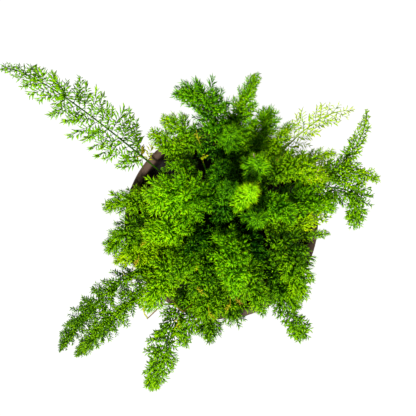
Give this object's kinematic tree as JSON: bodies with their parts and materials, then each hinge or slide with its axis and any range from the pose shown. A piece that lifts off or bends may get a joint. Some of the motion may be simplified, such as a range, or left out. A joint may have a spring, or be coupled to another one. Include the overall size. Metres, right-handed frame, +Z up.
{
  "type": "potted foxtail fern",
  "caption": "Foxtail fern in a round moulded pot: upright and arching plumes of fine green needles, with airy fronds that reach past the rim and some that trail below it.",
  "frame": {"origin": "The centre of the pot's flat underside, on the surface that it stands on.", "axes": "+Z is up, along the pot's axis. -Y is the side with the trailing fronds, and -X the side that the longest frond reaches to."},
  "size_m": [0.4952, 0.4414, 0.4473],
  "materials": {
    "pot": "satin",
    "potting_mix": "matte",
    "foliage": "satin",
    "pale_foliage": "satin"
  },
  "bodies": {
    "root": {"crown_1": "foliage", "crown_2": "foliage", "crown_3": "foliage", "crown_4": "foliage", "crown_5": "foliage", "crown_6": "foliage", "outer_1": "foliage", "outer_2": "pale_foliage", "outer_3": "foliage", "outer_4": "foliage", "outer_5": "foliage", "outer_6": "pale_foliage", "outer_7": "foliage", "pot": "pot", "rim_1": "foliage", "rim_10": "foliage", "rim_11": "foliage", "rim_12": "foliage", "rim_13": "foliage", "rim_14": "foliage", "rim_15": "foliage", "rim_16": "foliage", "rim_2": "foliage", "rim_3": "foliage", "rim_4": "foliage", "rim_5": "foliage", "rim_6": "foliage", "rim_7": "foliage", "rim_8": "foliage", "rim_9": "foliage", "soil": "potting_mix", "trailing_1": "foliage", "trailing_2": "foliage", "trailing_3": "foliage", "trailing_4": "foliage", "trailing_5": "foliage", "upper_1": "foliage", "upper_10": "foliage", "upper_11": "foliage", "upper_12": "foliage", "upper_2": "foliage", "upper_3": "foliage", "upper_4": "foliage", "upper_5": "foliage", "upper_6": "foliage", "upper_7": "foliage", "upper_8": "foliage", "upper_9": "foliage"}
  },
  "joints": []
}
